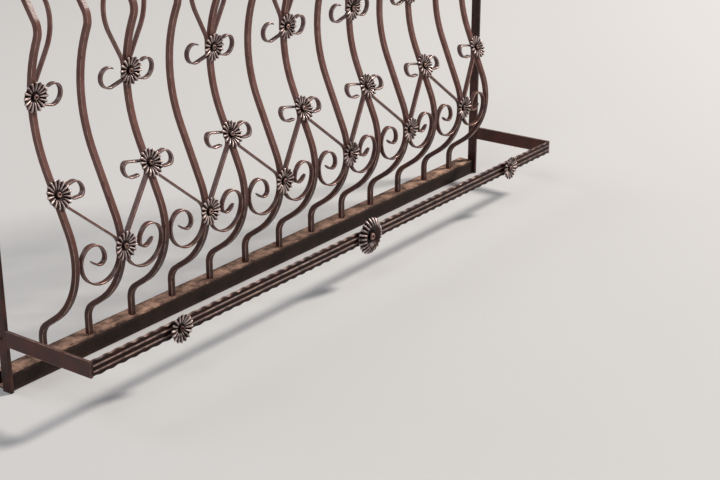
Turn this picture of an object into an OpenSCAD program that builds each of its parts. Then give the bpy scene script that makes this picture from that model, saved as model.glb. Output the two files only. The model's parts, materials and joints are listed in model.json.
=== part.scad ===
/* [Overall] */

// Clear width of the wall opening the balcony stands in
opening_w = 1790; // [1500:10:2100]
// Height from the underside of the bottom rail to the top of the top rail
total_h = 942; // [900:1:1000]
// Distance between neighbouring upright bars
pitch = 130; // [110:1:140]
// Number of upright bars
bar_count = 13; // [9:2:15]

/* [Upright bars] */

// Side of the square bar
bar_a = 12.5; // [12:0.5:16]
// Height where the bars leave the upright foot and swing outward
foot_bend_z = 102; // [80:1:120]
// Radius of the bend at the foot
foot_bend_r = 44; // [30:1:60]
// Corner point of the belly, outward from the rails
belly_y = 158; // [120:1:180]
// Corner point of the belly, height
belly_z = 213; // [190:1:240]
// Radius of the belly
belly_r = 168; // [120:1:180]
// Corner point of the waist, inward from the rails
waist_y = 0; // [0:1:20]
// Corner point of the waist, height
waist_z = 585; // [560:1:620]
// Radius of the waist
waist_r = 325; // [200:5:340]
// Corner point of the knee, outward from the rails
knee_y = 67; // [50:1:90]
// Corner point of the knee, height
knee_z = 742; // [720:1:760]
// Radius of the knee
knee_r = 40; // [18:1:60]
// Height where the bars come back to the plane of the rails
head_bend_z = 856; // [830:1:880]
// Radius of the bend at the head
head_bend_r = 40; // [20:1:60]

/* [Rails and end posts] */

// Height of the box section of both rails
rail_h = 40; // [30:1:50]
// Depth of the box section of both rails, wall side to street side
rail_w = 48; // [36:1:60]
// Distance of the rails' street face from the middle of the bars' feet
rail_front = 17; // [12:1:24]
// Wall thickness of the rails
rail_wall = 3; // [2:0.5:5]
// Width of the flat end posts, wall side to street side
post_w = 26; // [22:1:40]
// Thickness of the flat end posts
post_t = 8; // [6:1:12]
// Distance of the end posts' street edge from the middle of the bars' feet
post_front = 24; // [18:1:30]
// Diameter of the anchor holes in the end posts
anchor_d = 10.5; // [8:0.5:14]
// Distance between the two anchor holes of an end post
anchor_pitch = 700; // [500:10:760]

/* [Flat strips] */

// Depth of the flat strips, wall side to street side
strip_w = 12; // [10:1:14]
// Thickness of the flat strips
strip_t = 4; // [3:0.5:6]
// Width of the basket at its widest, middle of strip to middle of strip
basket_w = 117; // [90:1:120]
// Radius of the basket's widest part
basket_r = 109; // [60:1:140]
// Lean of the basket's strips from upright, in degrees
basket_lean = 29; // [24:1:34]
// Height of the middle of the baskets
basket_z = 744; // [730:1:760]
// Distance of the baskets outward from the rails
basket_y = 35; // [25:1:45]
// Height where the baskets lean back to the rails
basket_back_z = 795; // [780:1:810]
// Height of the middle of the volutes
volute_z = 263; // [250:1:275]
// Radius of the volutes
volute_r = 54; // [48:0.5:55]

/* [Ears] */

// Straight reach of the upper ears away from the bar
upper_ear_reach = 32; // [24:1:40]
// Radius of the upper ears' outer bend
upper_ear_r = 24; // [18:0.5:30]
// Radius of the upper ears' rolled end
upper_ear_end_r = 20; // [14:0.5:26]
// Straight reach of the middle ears away from the bar
middle_ear_reach = 39; // [30:1:46]
// Radius of the middle ears' outer bend
middle_ear_r = 15.5; // [12:0.5:20]
// Straight length of the middle ears' way back
middle_ear_back = 14; // [8:1:20]

/* [Rosettes] */

// Outside diameter of the rosettes on the bars
rosette_d = 63; // [50:1:70]
// Number of petals
petals = 16; // [12:1:20]
// Number of petals of the large rosette on the front rail
big_petals = 22; // [16:1:28]
// Height of a petal's ridge above the back of a rosette
petal_h = 10; // [6:0.5:11]
// Height of the lower row of rosettes
lower_row_z = 274; // [250:1:300]
// Height of the middle row of rosettes
middle_row_z = 408; // [390:1:440]
// Height of the upper row of rosettes
upper_row_z = 606; // [580:1:630]

/* [Planter guard] */

// Distance of the guard's front face from the middle of the rails
guard_y = 266; // [240:1:290]
// Height of the guard's upper edge
guard_top_z = 142; // [130:1:160]
// Height of the guard's flat bars
guard_h = 36; // [30:1:45]
// Thickness of the guard's side arms
arm_t = 6; // [4:0.5:8]
// Thickness of the ribbed front rail without its ribs
front_t = 6; // [4:0.5:8]
// Diameter of the two small rosettes on the front rail
front_rosette_d = 63; // [50:1:70]
// Diameter of the large rosette on the front rail
front_rosette_big_d = 92; // [70:1:95]
// Distance of the left front rosette from the left side of the wall opening
left_rosette_in = 248; // [150:1:400]
// Distance of the middle front rosette to the right of the middle bar
middle_rosette_x = 14; // [0:1:60]
// Distance of the right front rosette from the right side of the wall opening
right_rosette_in = 232; // [150:1:400]
// Distance between the hammer marks on the edges of the front rail
hammer_pitch = 31.5; // [20:0.5:60]
// Depth of the hammer marks
hammer_depth = 2.2; // [0.5:0.1:3]

/* [Hidden] */

half_w = opening_w / 2;
foot_z = rail_h;
head_z = total_h - rail_h;
arc_slack = 0.15;
seat_gap = 0.3;
round_fn = 40;
mid_bar = (bar_count - 1) / 2;

/* Places of the bars */

function bar_x(i) = (i - mid_bar) * pitch;
rosette_bars = [for (i = [0:2:bar_count - 1]) bar_x(i)];
scroll_bars = [for (i = [1:2:bar_count - 2]) bar_x(i)];
bars_but_first = [for (i = [2:2:bar_count - 1]) bar_x(i)];
bars_but_last = [for (i = [0:2:bar_count - 3]) bar_x(i)];

/* Paths: lists of [point, heading] */

// Steps that keep the chords of an arc within the slack of its radius
function arc_steps(r, turn) = max(2, ceil(abs(turn) / (2 * acos(1 - arc_slack / r))));

function heading(v) = atan2(v[1], v[0]);
function unit(v) = v / norm(v);
function side(h) = [-sin(h), cos(h)];

// Half the angle at corner b between a and c, and the centre of the arc that rounds it
function half_angle(a, b, c) = acos(unit(a - b) * unit(c - b)) / 2;
function arc_centre(a, b, c, r) =
    b + unit(unit(a - b) + unit(c - b)) * r / sin(half_angle(a, b, c));

// Points of the arc that rounds corner b between a and c
function round_corner(a, b, c, r) =
    let (u = unit(a - b), w = unit(c - b),
        centre = arc_centre(a, b, c, r),
        turn = (u[0] * w[1] - u[1] * w[0] < 0 ? 1 : -1) * (180 - 2 * half_angle(a, b, c)),
        n = arc_steps(r, turn),
        h0 = heading(-u))
    [for (k = [0:n]) let (h = h0 + turn * k / n)
        [centre - side(h) * r * sign(turn), h]];

// A bent bar: corner points with the radius at each inner corner
function bent_path(p, r) = concat(
    [[p[0], heading(p[1] - p[0])]],
    [for (i = [1:len(p) - 2]) each round_corner(p[i - 1], p[i], p[i + 1], r[i - 1])],
    [[p[len(p) - 1], heading(p[len(p) - 1] - p[len(p) - 2])]]);

// A scrolled strip: legs of [length, 0] or [radius, turn] laid end to end
function leg_points(p, h, leg) =
    leg[1] == 0 ? [[p + leg[0] * [cos(h), sin(h)], h]] :
    let (n = arc_steps(leg[0], leg[1]),
        centre = p + side(h) * leg[0] * sign(leg[1]))
    [for (k = [1:n]) let (a = h + leg[1] * k / n)
        [centre - side(a) * leg[0] * sign(leg[1]), a]];
function walk(p, h, legs, i = 0) =
    i == len(legs) ? [[p, h]] :
    let (now = leg_points(p, h, legs[i]), last = now[len(now) - 1])
    concat([[p, h]], [for (k = [0:1:len(now) - 2]) now[k]], walk(last[0], last[1], legs, i + 1));

// Outline of a strip of thickness t along a path
module ribbon(path, t) {
    n = len(path) - 1;
    polygon(concat(
        [for (s = path) s[0] + side(s[1]) * t / 2],
        [for (k = [n:-1:0]) path[k][0] - side(path[k][1]) * t / 2]));
}

/* Side shape of the bars, as [outward and inward, height] */

bar_corners = [[0, foot_z], [0, foot_bend_z], [-belly_y, belly_z], [waist_y, waist_z],
    [-knee_y, knee_z], [0, head_bend_z], [0, head_z]];
bar_path = bent_path(bar_corners, [foot_bend_r, belly_r, waist_r, knee_r, head_bend_r]);
belly_centre = arc_centre(bar_corners[1], bar_corners[2], bar_corners[3], belly_r);
waist_centre = arc_centre(bar_corners[2], bar_corners[3], bar_corners[4], waist_r);
belly_peak_y = belly_centre[0] - belly_r;
waist_peak_y = waist_centre[0] + waist_r;
bars_slope = atan2(waist_y + belly_y, waist_z - belly_z);

// Where the straight part between belly and waist stands at height z
function slope_y(z) = -belly_y + (z - belly_z) * tan(bars_slope);

// Turns a side shape to stand in the plane of the bars, w wide along the wall
module along_wall(w) {
    rotate([90, 0, 90])
        translate([0, 0, -w / 2])
            linear_extrude(w)
                children();
}

// Turns a front shape to face the street, deep enough to cut the whole belly
module facing_street() {
    rotate([90, 0, 0])
        linear_extrude(guard_y)
            children();
}

// The curved slab the scrolls and ears are cut from
module belly_slab() {
    along_wall(opening_w)
        ribbon(bar_path, strip_w);
}

module upright_bars(places) {
    for (x = places)
        translate([x, 0, 0])
            along_wall(bar_a)
                ribbon(bar_path, bar_a);
}

module basket_bars() {
    color("#3b2a25") upright_bars(rosette_bars);
}

module plain_bars() {
    color("#3b2a25") upright_bars(scroll_bars);
}

/* Basket strips beside the bars with the upper rosettes */

strip_x = (bar_a + strip_t) / 2;
strip_overlap = 10;
basket_end_r = 40;
basket_side_r = 50;
basket_foot_z = upper_row_z - strip_overlap;
basket_corner_x = basket_w / 2 + basket_r * (1 / cos(basket_lean) - 1);
basket_leg = (basket_corner_x - strip_x) / tan(basket_lean);
basket_path = bent_path([[strip_x, basket_foot_z], [strip_x, basket_z - basket_leg],
    [basket_corner_x, basket_z], [strip_x, basket_z + basket_leg], [strip_x, head_z]],
    [basket_end_r, basket_r, basket_end_r]);
basket_side_path = bent_path([[waist_peak_y, basket_foot_z], [-basket_y, basket_back_z],
    [0, head_bend_z], [0, head_z]], [basket_side_r, head_bend_r]);

module basket_strips(places, hand) {
    intersection() {
        for (x = places)
            translate([x, strip_w, 0])
                facing_street()
                    scale([hand, 1])
                        ribbon(basket_path, strip_t);
        along_wall(opening_w)
            ribbon(basket_side_path, strip_w);
    }
}

module left_basket_strips() {
    color("#43302a") basket_strips(bars_but_first, -1);
}

module right_basket_strips() {
    color("#43302a") basket_strips(bars_but_last, 1);
}

/* Scrolls between the middle and the lower rosettes */

scroll_leave_r = 25;
scroll_meet_r = 40;
scroll_top_leg = 8;
scroll_foot_leg = 7.5;
scroll_rise = 3;
scroll_top_z = middle_row_z + scroll_rise;
scroll_bend_z = 292;
scroll_bend_r = 50;
// Radii of the volute's roll, from its outside to its eye, and its straight end
roll_r = [34, 32, 14, 22];
roll_end = 14;
// Run and drop of the bends and the slanting leg, which set that leg's length and slope
scroll_run = pitch - 2 * strip_x - scroll_leave_r - scroll_meet_r;
scroll_drop = scroll_top_z - scroll_top_leg - scroll_foot_leg - volute_z;
scroll_bends = scroll_leave_r + scroll_meet_r;
scroll_leg = sqrt(pow(scroll_run, 2) + pow(scroll_drop, 2) - pow(scroll_bends, 2));
scroll_slope = atan2(scroll_bends, scroll_leg) + atan2(scroll_run, scroll_drop);
scroll_path = walk([strip_x, scroll_top_z], -90, [
    [scroll_top_leg, 0], [scroll_leave_r, scroll_slope], [scroll_leg, 0],
    [scroll_meet_r, -scroll_slope], [scroll_foot_leg, 0], [volute_r, -180],
    [roll_r[0], -90], [roll_r[1], -90], [roll_r[2], -90], [roll_r[3], -40], [roll_end, 0]]);
scroll_side_path = bent_path([[slope_y(middle_row_z), middle_row_z],
    [belly_peak_y, scroll_bend_z], [belly_peak_y, volute_z - volute_r - strip_w]],
    [scroll_bend_r]);

module scrolls(hand) {
    intersection() {
        for (x = scroll_bars)
            translate([x, 0, 0])
                facing_street()
                    scale([hand, 1])
                        translate([-pitch, 0])
                            ribbon(scroll_path, strip_t);
        along_wall(opening_w)
            ribbon(scroll_side_path, strip_w);
    }
}

module left_scrolls() {
    color("#43302a") scrolls(1);
}

module right_scrolls() {
    color("#43302a") scrolls(-1);
}

/* Ears: small bows left and right of the upper and middle rosettes */

ear_root_r = 6;
upper_ear_drop = 14;
upper_ear_lift_r = 30;
upper_ear_tip_r = 22;
middle_ear_bow_r = 25;
middle_ear_tip_r = 20;
upper_ear_path = walk([strip_x, -upper_ear_drop], -90, [
    [ear_root_r, 75], [upper_ear_reach, 0], [upper_ear_lift_r, 15],
    [upper_ear_r, 90], [upper_ear_end_r, 90], [upper_ear_tip_r, 40]]);
middle_ear_path = walk([strip_x, scroll_rise + seat_gap], 90, [
    [ear_root_r, -80], [middle_ear_reach, 0], [middle_ear_bow_r, -10],
    [middle_ear_r, -180], [middle_ear_back, 0], [middle_ear_tip_r, -25]]);

module ears(places, z, hand, path) {
    intersection() {
        for (x = places)
            translate([x, 0, z])
                facing_street()
                    scale([hand, 1])
                        ribbon(path, strip_t);
        belly_slab();
    }
}

module upper_left_ears() {
    color("#4a352e") ears(bars_but_first, upper_row_z, -1, upper_ear_path);
}

module upper_right_ears() {
    color("#4a352e") ears(bars_but_last, upper_row_z, 1, upper_ear_path);
}

module middle_left_ears() {
    color("#4a352e") ears(bars_but_first, middle_row_z, -1, middle_ear_path);
}

module middle_right_ears() {
    color("#4a352e") ears(bars_but_last, middle_row_z, 1, middle_ear_path);
}

/* Rosettes */

// A rosette is cupped: its petals rise outward from a sunk crown, over a back that narrows to a seat
crown_h = petal_h * 0.3;
valley_h = petal_h * 0.7;
rim_h = petal_h * 0.75;
crown_share = 0.24;
crest_share = 0.84;
seat_share = 0.4;
petal_steps = 4;
valley_inset = 0.09;

// Rings, as [share of the radius, height in a valley, height on a ridge]
rosette_rings = [[crown_share, crown_h, crown_h], [crest_share, valley_h, petal_h],
    [1, rim_h, rim_h], [seat_share, 0, 0]];

// The large one is a bowl in a ring of petals that curl back to the rail
big_crest_share = 0.66;
curled_h = petal_h * 0.2;
big_rosette_rings = [[crown_share, crown_h, crown_h], [big_crest_share, valley_h, petal_h],
    [1, curled_h, curled_h], [seat_share, 0, 0]];

// Rise of the surface across one petal, 0 in the valley and 1 on the ridge
function rise(k) = sqrt(abs(sin(180 * k / petal_steps)));

function rosette_points(d, n, rings) =
    [for (ring = rings) for (k = [0:n * petal_steps - 1])
        let (up = rise(k), a = 360 * k / (n * petal_steps),
            r = d / 2 * ring[0] * (ring[0] == 1 ? 1 - valley_inset * (1 - up) : 1))
        [r * cos(a), r * sin(a), (ring[1] + (ring[2] - ring[1]) * up) * d / rosette_d]];

// A ribbed rosette of diameter d lying on z = 0 with its ribs upward
module rosette(d, n, rings = rosette_rings) {
    m = n * petal_steps;
    last = len(rings) - 1;
    bands = [for (j = [0:last - 1]) for (k = [0:m - 1])
        let (q = (k + 1) % m) each [
            [j * m + k, j * m + q, (j + 1) * m + k],
            [j * m + q, (j + 1) * m + q, (j + 1) * m + k]]];
    crown = [[for (k = [m - 1:-1:0]) k]];
    back = [[for (k = [0:m - 1]) last * m + k]];
    polyhedron(rosette_points(d, n, rings), concat(bands, crown, back));
}

// The round button in the middle of a rosette of diameter d
module button(d) {
    button_w = d * 0.2;
    button_h = d * 0.1;
    ball_r = d * 0.15;
    translate([0, 0, crown_h * d / rosette_d + seat_gap])
        intersection() {
            cylinder(d = button_w, h = button_h, $fn = round_fn);
            translate([0, 0, button_h - ball_r])
                sphere(ball_r, $fn = round_fn);
        }
}

// Places children on the street side of the bars, off their middle, tipped upward
module on_bars(places, y, z, tip, off) {
    for (x = places)
        translate([x, y, z])
            rotate([90 - tip, 0, 0])
                translate([0, 0, off])
                    children();
}

// The upper rosettes bridge the hollow of the waist, the lower ones sit on the belly
waist_tip = -asin((upper_row_z - waist_centre[1]) / waist_r);
waist_row_y = waist_centre[0] + waist_r * cos(waist_tip);
hollow = pow(rosette_d * seat_share, 2) / (8 * (waist_r - bar_a / 2)) + seat_gap;
belly_tip = asin((lower_row_z - belly_centre[1]) / belly_r);
belly_row_y = belly_centre[0] - belly_r * cos(belly_tip);

module on_waist() {
    on_bars(rosette_bars, waist_row_y, upper_row_z, waist_tip, bar_a / 2 + hollow)
        children();
}

module on_slope() {
    on_bars(rosette_bars, slope_y(middle_row_z), middle_row_z, bars_slope, bar_a / 2)
        children();
}

module on_belly() {
    on_bars(scroll_bars, belly_row_y, lower_row_z, belly_tip, bar_a / 2)
        children();
}

module upper_rosettes() {
    color("#4a3029") on_waist() rosette(rosette_d, petals);
}

module upper_buttons() {
    color("#3b2a25") on_waist() button(rosette_d);
}

module middle_rosettes() {
    color("#4a3029") on_slope() rosette(rosette_d, petals);
}

module middle_buttons() {
    color("#3b2a25") on_slope() button(rosette_d);
}

module lower_rosettes() {
    color("#4a3029") on_belly() rosette(rosette_d, petals);
}

module lower_buttons() {
    color("#3b2a25") on_belly() button(rosette_d);
}

/* Rails and end posts */

rail_l = opening_w - 2 * post_t;

module box_rail(z) {
    translate([-rail_l / 2, rail_w / 2 - rail_front, z + rail_h / 2])
        rotate([90, 0, 90])
            linear_extrude(rail_l)
                difference() {
                    square([rail_w, rail_h], center = true);
                    square([rail_w - 2 * rail_wall, rail_h - 2 * rail_wall], center = true);
                }
}

module bottom_rail() {
    color("#5a3a28") box_rail(0);
}

module top_rail() {
    color("#3b2a25") box_rail(head_z);
}

module end_post(hand) {
    post_y = post_w / 2 - post_front;
    difference() {
        translate([hand * (half_w - post_t / 2), post_y, total_h / 2])
            cube([post_t, post_w, total_h], center = true);
        for (up = [-1, 1])
            translate([hand * half_w, post_y, total_h / 2 + up * anchor_pitch / 2])
                rotate([0, 90, 0])
                    cylinder(d = anchor_d, h = 3 * post_t, center = true, $fn = round_fn);
    }
}

module left_end_post() {
    color("#3b2a25") end_post(-1);
}

module right_end_post() {
    color("#3b2a25") end_post(1);
}

/* Planter guard */

rib_r = 3;
rib_places = [0.32, 0.67];
guard_z = guard_top_z - guard_h;
guard_l = opening_w - 2 * arm_t;
hammer_count = ceil(guard_l / hammer_pitch);
hammer_steps = 6;
left_rosette_x = left_rosette_in - half_w;
right_rosette_x = half_w - right_rosette_in;

// Section of the front rail: a flat bar with two half-round ribs
module front_profile() {
    square([front_t, guard_h]);
    for (share = rib_places)
        translate([0, guard_h * share])
            circle(rib_r, $fn = 16);
}

// The waves hammered into both edges, as [place along the rail, rise]
hammer_waves = [for (k = [0:hammer_count * hammer_steps])
    [hammer_pitch * (k / hammer_steps - hammer_count / 2),
        hammer_depth * (1 - cos(360 * k / hammer_steps)) / 2]];

// The lower and upper edge rise and fall together, so each notch faces a crest
module hammered_outline() {
    last = len(hammer_waves) - 1;
    polygon(concat(
        [for (w = hammer_waves) [w[0], guard_z + w[1]]],
        [for (k = [last:-1:0])
            [hammer_waves[k][0], guard_top_z - hammer_depth + hammer_waves[k][1]]]));
}

module front_rail() {
    color("#3b2a25")
        intersection() {
            translate([-guard_l / 2, -guard_y, guard_z])
                rotate([90, 0, 90])
                    linear_extrude(guard_l)
                        front_profile();
            translate([0, 1 - guard_y + front_t, 0])
                rotate([90, 0, 0])
                    linear_extrude(rib_r + front_t + 2)
                        hammered_outline();
        }
}

module side_arm(hand) {
    arm_l = guard_y - post_front;
    translate([hand * (half_w - arm_t / 2), -guard_y + arm_l / 2, guard_z + guard_h / 2])
        cube([arm_t, arm_l, guard_h], center = true);
}

module left_side_arm() {
    color("#3b2a25") side_arm(-1);
}

module right_side_arm() {
    color("#3b2a25") side_arm(1);
}

module on_front_rail(x) {
    translate([x, -guard_y - rib_r, guard_z + guard_h / 2])
        rotate([90, 0, 0])
            children();
}

module front_left_rosette() {
    color("#4a3029") on_front_rail(left_rosette_x) rosette(front_rosette_d, petals);
}

module front_middle_rosette() {
    color("#4a3029") on_front_rail(middle_rosette_x) rosette(front_rosette_big_d, big_petals, big_rosette_rings);
}

module front_right_rosette() {
    color("#4a3029") on_front_rail(right_rosette_x) rosette(front_rosette_d, petals);
}

module front_buttons() {
    color("#3b2a25") {
        on_front_rail(left_rosette_x) button(front_rosette_d);
        on_front_rail(middle_rosette_x) button(front_rosette_big_d);
        on_front_rail(right_rosette_x) button(front_rosette_d);
    }
}

/* What is drawn */

bottom_rail();
top_rail();
left_end_post();
right_end_post();
basket_bars();
plain_bars();
left_basket_strips();
right_basket_strips();
left_scrolls();
right_scrolls();
upper_left_ears();
upper_right_ears();
middle_left_ears();
middle_right_ears();
upper_rosettes();
middle_rosettes();
lower_rosettes();
upper_buttons();
middle_buttons();
lower_buttons();
front_buttons();
front_rail();
left_side_arm();
right_side_arm();
front_left_rosette();
front_middle_rosette();
front_right_rosette();
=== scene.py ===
# %% [markdown]
# A bow-fronted iron balcony guard.
# The real one is smithed from 12 mm square bar and thin flat strip, bent, curled and welded, set with cast rosettes
# and painted a dark brown that has been rubbed with copper. The measured solids are the frame: each piece below is
# built in the same place and at the same size, and only gets the rounded edges, ribs and finish of the real one.

# %% Load the measured solids
import json
import math
import random

import bpy
import numpy as np
from mathutils import Matrix, Vector


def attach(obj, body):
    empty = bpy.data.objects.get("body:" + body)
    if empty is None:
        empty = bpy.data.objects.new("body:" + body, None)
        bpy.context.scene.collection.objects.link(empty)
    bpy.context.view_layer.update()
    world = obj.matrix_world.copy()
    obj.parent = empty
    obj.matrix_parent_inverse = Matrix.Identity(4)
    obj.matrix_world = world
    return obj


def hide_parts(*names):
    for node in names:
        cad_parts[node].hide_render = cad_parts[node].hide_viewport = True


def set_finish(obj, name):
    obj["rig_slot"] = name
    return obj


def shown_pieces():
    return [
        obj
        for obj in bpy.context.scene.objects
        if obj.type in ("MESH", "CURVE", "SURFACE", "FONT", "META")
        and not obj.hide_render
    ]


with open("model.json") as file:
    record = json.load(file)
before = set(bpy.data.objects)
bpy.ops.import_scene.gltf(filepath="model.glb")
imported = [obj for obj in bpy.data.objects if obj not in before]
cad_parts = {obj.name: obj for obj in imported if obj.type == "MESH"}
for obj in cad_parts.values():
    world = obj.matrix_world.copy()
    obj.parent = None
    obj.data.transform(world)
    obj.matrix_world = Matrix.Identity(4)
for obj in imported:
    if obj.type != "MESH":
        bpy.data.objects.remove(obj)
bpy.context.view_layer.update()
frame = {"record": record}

# %% [markdown]
# The sizes are the smith's own, in millimetres: X runs along the balcony, the street is at -Y and Z is up. Those that
# several pieces share are written once here, as on a workshop drawing, so that bars, strips and rosettes meet where
# they do on the object. The others stand beside the piece that first needs them.

# %% Sizes that the pieces share, in millimetres
MM = 0.001
WIDTH, HEIGHT, PITCH, BARS, BAR = 1790, 942, 130, 13, 12.5
RAIL_H, POST_T = 40, 8
LOWER_Z, MIDDLE_Z, UPPER_Z = 274, 408, 606
HEAD_Z = HEIGHT - RAIL_H
BAR_X = [(k - (BARS - 1) / 2) * PITCH for k in range(BARS)]
BASKET_X, PLAIN_X = BAR_X[0::2], BAR_X[1::2]
print("bars with baskets:", len(BASKET_X), "plain bars:", len(PLAIN_X))

# %% [markdown]
# Every bar and strip follows a line that a smith would chalk on a steel plate: straight runs joined by bends of a known
# radius. Blender's curves could round the corners too, but points worked out from radii keep the bends true to the
# measured solids, and each point also carries its heading. The first line is the side line of the bars. Its corners
# at the foot, belly, waist, knee and head are given as Y and Z.

# %% Chalk lines, and the side line of the bars
BEND_STEP = 4
FOOT_BEND_Z, BELLY, WAIST, KNEE, HEAD_BEND_Z = 102, (-158, 213), (0, 585), (-67, 742), 856
FOOT_R, BELLY_R, WAIST_R, KNEE_R, HEAD_R = 44, 168, 325, 40, 40


def arc(centre, radius, start, turn):
    """Points (p, q, heading) of an arc about centre, heading in degrees."""
    steps = max(2, math.ceil(abs(turn) / BEND_STEP))
    hand = math.copysign(1, turn)
    found = []
    for k in range(steps + 1):
        a = start + turn * k / steps
        s, c = math.sin(math.radians(a)), math.cos(math.radians(a))
        found.append((centre[0] + s * radius * hand, centre[1] - c * radius * hand, a))
    return found


def corner_bend(a, b, c, radius):
    """Centre of the bend that rounds corner b between a and c, and half the corner's angle."""
    u, w = ((Vector(p) - Vector(b)).normalized() for p in (a, c))
    half = u.angle(w) / 2
    return Vector(b) + (u + w).normalized() * radius / math.sin(half), half


def bent(corners, radii):
    """Straight runs between corners, each inner corner rounded to its radius."""
    pts = [Vector(c) for c in corners]

    def head(v):
        return math.degrees(math.atan2(v.y, v.x))

    found = [(*pts[0], head(pts[1] - pts[0]))]
    for a, b, c, radius in zip(pts, pts[1:], pts[2:], radii):
        centre, half = corner_bend(a, b, c, radius)
        into, out = b - a, c - b
        side = 1 if into.x * out.y - into.y * out.x > 0 else -1
        found += arc(centre, radius, head(into), side * (180 - 2 * math.degrees(half)))
    return found + [(*pts[-1], head(pts[-1] - pts[-2]))]


bar_corners = [(0, RAIL_H), (0, FOOT_BEND_Z), BELLY, WAIST, KNEE, (0, HEAD_BEND_Z), (0, HEAD_Z)]
bar_side = bent(bar_corners, [FOOT_R, BELLY_R, WAIST_R, KNEE_R, HEAD_R])
print("points on a bar's side line:", len(bar_side))

# %% [markdown]
# A forged bar is never sharp: rolling and paint leave its edges rounded by a millimetre or so, and that rounding is
# what catches the light. A Bevel modifier could cut it, but a rounded section swept along the line is lighter, keeps
# clean quads, and lets each point remember whether it sits on an edge that hands and weather have rubbed; the copper
# laid there is also a painted highlight along the edge.

# %% Rounded sections and the sweep
def section(width, depth, radius, steps=3):
    """Points (a, b, share of rubbed copper and painted highlight) round a rectangle with rounded corners, 1 on the
    rounding.
    """
    found = []
    for sa, sb, start in ((1, 1, 0), (-1, 1, 90), (-1, -1, 180), (1, -1, 270)):
        for k in range(steps + 1):
            t = math.radians(start + 90 * k / steps)
            found.append((sa * (width / 2 - radius) + radius * math.cos(t),
                          sb * (depth / 2 - radius) + radius * math.sin(t),
                          0.0 if k in (0, steps) else 1.0))
    return np.array(found)


def sweep_faces(rings, points, first=0, ends=True):
    """Quads between rings of points, with a many-sided face over each end."""
    r, k = np.meshgrid(np.arange(rings - 1), np.arange(points), indexing="ij")
    r, k = r.ravel(), k.ravel()
    n = (k + 1) % points
    quads = np.stack([r * points + k, r * points + n, (r + 1) * points + n, (r + 1) * points + k], 1) + first
    faces = quads.tolist()
    if ends:
        last = first + (rings - 1) * points
        faces += [list(range(first + points - 1, first - 1, -1)), list(range(last, last + points))]
    return faces


bar_section = section(BAR, BAR, radius=1.3)
print("points round a bar:", len(bar_section))

# %% [markdown]
# Each mesh is made in millimetres and set down in metres. Three numbers stay with every point for the paint: how much
# it is rubbed with copper, which also lays painted highlights on edges, ridges and rib crests; how much painted shade
# it gets in recesses, in grooves, on backs and on faces turned from the light; and how pale it is painted, pale above
# and dark towards the foot, which is partly sun fading and partly painted shade on the belly and foot. A Weighted
# Normal modifier keeps the flats flat beside their narrow rounded edges; subdividing would do so too, with far more
# faces.

# %% Pieces in place of the measured solids
# Below about SHADED_Z the paint is painted darker: painted shade on the foot and belly.
SHADED_Z, SHADED_SPAN, FOOT_SHARE = 200, 260, 0.15


def pale_above_shaded_below(height):
    """How pale the paint is, from a small share at the foot to 1 from the waist up: sun fading above, painted shade on
    the foot and belly.
    """
    share = np.clip((height - SHADED_Z) / SHADED_SPAN, 0, 1)
    return FOOT_SHARE + (1 - FOOT_SHARE) * share * share * (3 - 2 * share)


def make_piece(name, node, slot, verts, faces, rub, recess=None, faded=0.0, bevel=0):
    """A mesh in metres from millimetre points, standing for its solid."""
    mesh = bpy.data.meshes.new(name)
    mesh.from_pydata((np.asarray(verts) * MM).tolist(), [], faces)
    mesh.polygons.foreach_set("use_smooth", [True] * len(mesh.polygons))
    # Per point: rubbed copper that also paints highlights, painted shade, and the share of pale paint, low at the foot
    # as painted shade.
    values = {"rub": rub, "recess": np.zeros(len(rub)) if recess is None else recess,
              "faded": np.broadcast_to(faded, len(rub))}
    for key, value in values.items():
        layer = mesh.attributes.new(key, "FLOAT", "POINT")
        layer.data.foreach_set("value", np.asarray(value, np.float32))
    mesh.update()
    mesh.set_sharp_from_angle(angle=math.radians(60))
    piece = bpy.data.objects.new(name, mesh)
    bpy.context.scene.collection.objects.link(piece)
    if bevel:
        edges = piece.modifiers.new("rounded edges", "BEVEL")
        edges.width, edges.segments, edges.limit_method, edges.angle_limit = bevel * MM, 3, "ANGLE", math.radians(40)
    weights = piece.modifiers.new("flats stay flat", "WEIGHTED_NORMAL")
    weights.weight, weights.keep_sharp = 80, not bevel
    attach(piece, "root")
    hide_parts(node)
    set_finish(piece, slot)
    print(f"{name}: {len(mesh.vertices)} points, {len(mesh.polygons)} faces")
    return piece


def sweep(name, node, slot, tubes, rub, sun_and_shade=0.0):
    """One piece from several tubes, each an array (ring, point, xyz), painted paler from its foot up: sun fading, with
    painted shade at the foot.
    """
    verts, faces, rubs_and_highlights = [], [], []
    for tube in tubes:
        first = sum(len(v) for v in verts)
        rings, points = tube.shape[:2]
        faces += sweep_faces(rings, points, first)
        verts.append(tube.reshape(-1, 3))
        rubs_and_highlights.append(np.tile(rub, rings))
    verts = np.concatenate(verts)
    # Paler towards the top, darker towards the foot as painted shade.
    return make_piece(name, node, slot, verts, faces, np.concatenate(rubs_and_highlights), faded=sun_and_shade * pale_above_shaded_below(verts[:, 2]))


# The pale share at each height; its low values at the foot and belly are painted shade.
print("paint faded at the foot, belly and waist:", pale_above_shaded_below(np.array([RAIL_H, LOWER_Z, WAIST[1]])).round(2))

# %% [markdown]
# The upright bars swing out into the belly, come back to the waist, kick out again at the knee and return to the
# plane of the rails. Seen from the end all thirteen are alike, so one side line serves them all and only their X
# differs. An Array modifier could repeat the bar, but the two kinds stand in turn, each its own piece.

# %% Upright bars
def filled(path, gap):
    """The path with points at most gap apart, as an array."""
    found = [path[0]]
    for a, b in zip(path, path[1:]):
        parts = max(1, math.ceil(math.dist(a[:2], b[:2]) / gap))
        for k in range(1, parts + 1):
            found.append(tuple(a[i] + (b[i] - a[i]) * k / parts for i in range(3)))
    return np.array(found)


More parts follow.
